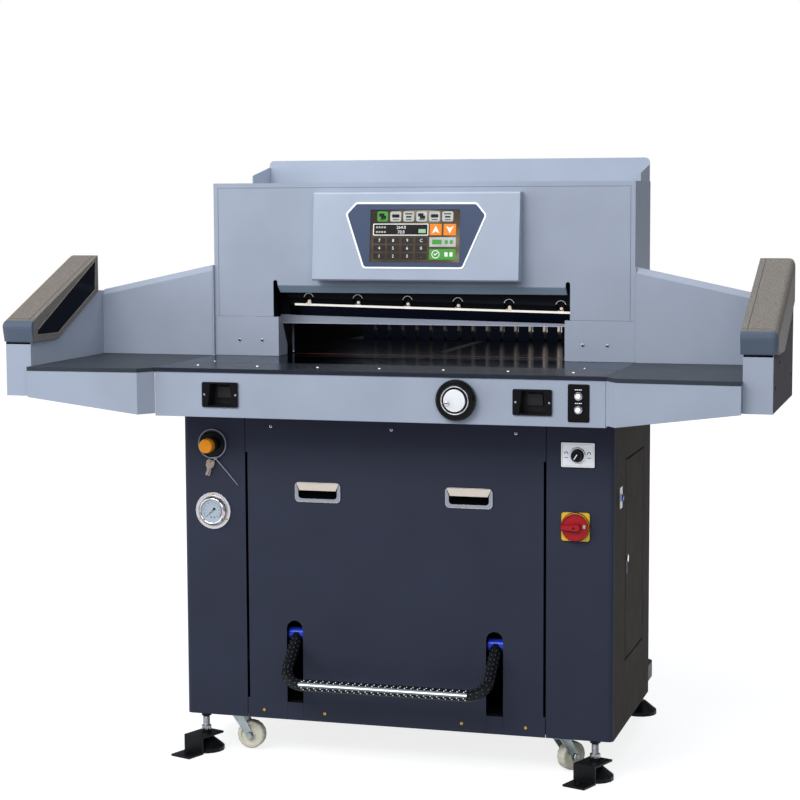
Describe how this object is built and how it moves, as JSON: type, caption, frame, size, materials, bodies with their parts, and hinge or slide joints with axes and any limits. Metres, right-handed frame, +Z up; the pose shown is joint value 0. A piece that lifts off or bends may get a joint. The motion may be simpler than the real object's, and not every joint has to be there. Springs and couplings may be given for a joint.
{
  "type": "hydraulic paper cutter",
  "caption": "Free-standing hydraulic paper cutter: inclined knife that levels as it falls, comb clamp, screw-driven back gauge, light-curtain arms, pedal and touch control.",
  "frame": {"origin": "on the floor in the middle of the footprint's bounding box", "axes": "+Z up, +X to the operator's right, +Y from the operator to the back"},
  "size_m": [1.831, 1.381, 1.4525],
  "materials": {
    "body_paint": "satin blue-grey enamel",
    "box_paint": "satin pale blue enamel",
    "hood_paint": "satin grey enamel",
    "cabinet_paint": "fine-textured slate powder coat",
    "housing_paint": "textured grey powder coat",
    "table_steel": "dark polished",
    "cast_iron": "machined, dark",
    "carrier_paint": "black",
    "blade_steel": "ground",
    "steel": "turned",
    "chrome": "bright",
    "black_plastic": "fine grain",
    "black_paint": "satin black",
    "stick_plastic": "red",
    "screen_glass": "glossy",
    "switch_yellow": "yellow",
    "switch_red": "red",
    "amber_plastic": "amber",
    "nylon": "cream",
    "zinc": "zinc plated",
    "motor_paint": "blue-grey"
  },
  "bodies": {
    "machine": {"base_plate": "black_paint", "side_frame_left": "cast_iron", "side_frame_right": "cast_iron", "cross_beam": "cast_iron", "cabinet_left": "cabinet_paint", "cabinet_right": "cabinet_paint", "front_panel": "cabinet_paint", "panel_handle_left": "black_plastic", "panel_handle_right": "black_plastic", "cabinet_back": "cabinet_paint", "table_front": "body_paint", "main_table": "table_steel", "side_table_left": "table_steel", "side_table_right": "table_steel", "apron_left": "body_paint", "apron_right": "body_paint", "back_panel_left": "body_paint", "back_panel_right": "body_paint", "arm_left": "body_paint", "arm_right": "body_paint", "curtain_housing_left": "housing_paint", "curtain_housing_right": "housing_paint", "head_cover": "body_paint", "cheek_cover_left": "body_paint", "cheek_cover_right": "body_paint", "control_box": "box_paint", "touch_screen": "screen_glass", "rear_hood": "hood_paint", "cutting_stick": "stick_plastic", "rear_table": "table_steel", "main_switch_plate": "switch_yellow", "pressure_gauge": "chrome", "foot_front_left": "black_paint", "foot_front_right": "black_paint", "foot_rear_left": "black_paint", "foot_rear_right": "black_paint", "oil_tank": "motor_paint", "pump_motor": "motor_paint", "knife_cylinder": "cast_iron"},
    "pull": {"pull_rod": "steel"},
    "knife_beam": {"knife_carrier": "carrier_paint", "knife": "blade_steel"},
    "clamp": {"clamp_beam": "cast_iron"},
    "gauge": {"back_gauge": "cast_iron"},
    "screw": {"lead_screw": "steel"},
    "pedal": {"pedal": "black_paint"},
    "handwheel": {"handwheel": "black_plastic"},
    "cut_button_left": {"cut_button_left": "black_plastic"},
    "cut_button_right": {"cut_button_right": "black_plastic"},
    "push_button_upper": {"push_button_upper": "steel"},
    "push_button_lower": {"push_button_lower": "steel"},
    "amber_button": {"amber_button": "amber_plastic"},
    "selector": {"selector_knob": "black_plastic"},
    "main_switch": {"main_switch_handle": "switch_red"},
    "side_door": {"side_door": "cabinet_paint"},
    "door_lock": {"door_lock": "chrome"},
    "caster_left": {"caster_fork_left": "zinc"},
    "caster_right": {"caster_fork_right": "zinc"},
    "caster_wheel_left": {"caster_wheel_left": "nylon"},
    "caster_wheel_right": {"caster_wheel_right": "nylon"}
  },
  "joints": [
    {"name": "knife_stroke", "type": "slide", "parent": "machine", "child": "pull", "axis": [0, 0, -1], "range_m": [0, 0.0829]},
    {"name": "knife_level", "type": "hinge", "parent": "pull", "child": "knife_beam", "pos_m": [0.421, -0.20017, 1.235], "axis": [0, 1, 0], "range_deg": [-1.1, 0]},
    {"name": "clamp_stroke", "type": "slide", "parent": "machine", "child": "clamp", "axis": [0, 0, -1], "range_m": [0, 0.0762]},
    {"name": "gauge_travel", "type": "slide", "parent": "machine", "child": "gauge", "axis": [0, 1, 0], "range_m": [-0.4885, 0.158]},
    {"name": "lead_screw_turn", "type": "hinge", "parent": "machine", "child": "screw", "pos_m": [0, -0.0302, 0.911], "axis": [0, 1, 0], "range_deg": [-8795, 2846]},
    {"name": "pedal_press", "type": "hinge", "parent": "machine", "child": "pedal", "pos_m": [0, -0.4535, 0.302], "axis": [1, 0, 0], "range_deg": [0, 15], "stiffness_Nm_per_rad": 15, "springref_deg": -28.65},
    {"name": "handwheel_turn", "type": "hinge", "parent": "machine", "child": "handwheel", "pos_m": [0.198, -0.6343, 0.9], "axis": [0, 1, 0], "continuous": true},
    {"name": "cut_button_left_press", "type": "slide", "parent": "machine", "child": "cut_button_left", "axis": [0, 1, 0], "range_m": [0, 0.005], "stiffness_N_per_m": 400, "springref_m": -0.002},
    {"name": "cut_button_right_press", "type": "slide", "parent": "machine", "child": "cut_button_right", "axis": [0, 1, 0], "range_m": [0, 0.005], "stiffness_N_per_m": 400, "springref_m": -0.002},
    {"name": "push_button_upper_press", "type": "slide", "parent": "machine", "child": "push_button_upper", "axis": [0, 1, 0], "range_m": [0, 0.003], "stiffness_N_per_m": 300, "springref_m": -0.002},
    {"name": "push_button_lower_press", "type": "slide", "parent": "machine", "child": "push_button_lower", "axis": [0, 1, 0], "range_m": [0, 0.003], "stiffness_N_per_m": 300, "springref_m": -0.002},
    {"name": "amber_button_press", "type": "slide", "parent": "machine", "child": "amber_button", "axis": [0, 1, 0], "range_m": [0, 0.006], "stiffness_N_per_m": 400, "springref_m": -0.002},
    {"name": "selector_turn", "type": "hinge", "parent": "machine", "child": "selector", "pos_m": [0.444, -0.4798, 0.762], "axis": [0, 1, 0], "range_deg": [0, 90]},
    {"name": "main_switch_turn", "type": "hinge", "parent": "machine", "child": "main_switch", "pos_m": [0.441, -0.4861, 0.5965], "axis": [0, 1, 0], "range_deg": [0, 90]},
    {"name": "side_door_swing", "type": "hinge", "parent": "machine", "child": "side_door", "pos_m": [0.53, -0.0765, 0.2565], "axis": [0, 0, 1], "range_deg": [0, 110]},
    {"name": "door_lock_turn", "type": "hinge", "parent": "side_door", "child": "door_lock", "pos_m": [0.53, -0.3035, 0.496], "axis": [1, 0, 0], "range_deg": [-90, 0]},
    {"name": "caster_left_swivel", "type": "hinge", "parent": "machine", "child": "caster_left", "pos_m": [-0.415, -0.4335, 0.0887], "axis": [0, 0, 1], "range_deg": [-90, 90]},
    {"name": "caster_right_swivel", "type": "hinge", "parent": "machine", "child": "caster_right", "pos_m": [0.395, -0.4435, 0.0887], "axis": [0, 0, 1], "range_deg": [0, 180]},
    {"name": "caster_left_spin", "type": "hinge", "parent": "caster_left", "child": "caster_wheel_left", "pos_m": [-0.378, -0.4335, 0.0385], "axis": [0, 1, 0], "continuous": true},
    {"name": "caster_right_spin", "type": "hinge", "parent": "caster_right", "child": "caster_wheel_right", "pos_m": [0.41878, -0.41516, 0.0385], "axis": [-0.766, 0.6428, 0], "continuous": true}
  ],
  "couplings": [
    {"joint": "knife_level", "follows": "knife_stroke", "rad_per_m": -0.2316},
    {"joint": "lead_screw_turn", "follows": "gauge_travel", "rad_per_m": 314.16}
  ]
}
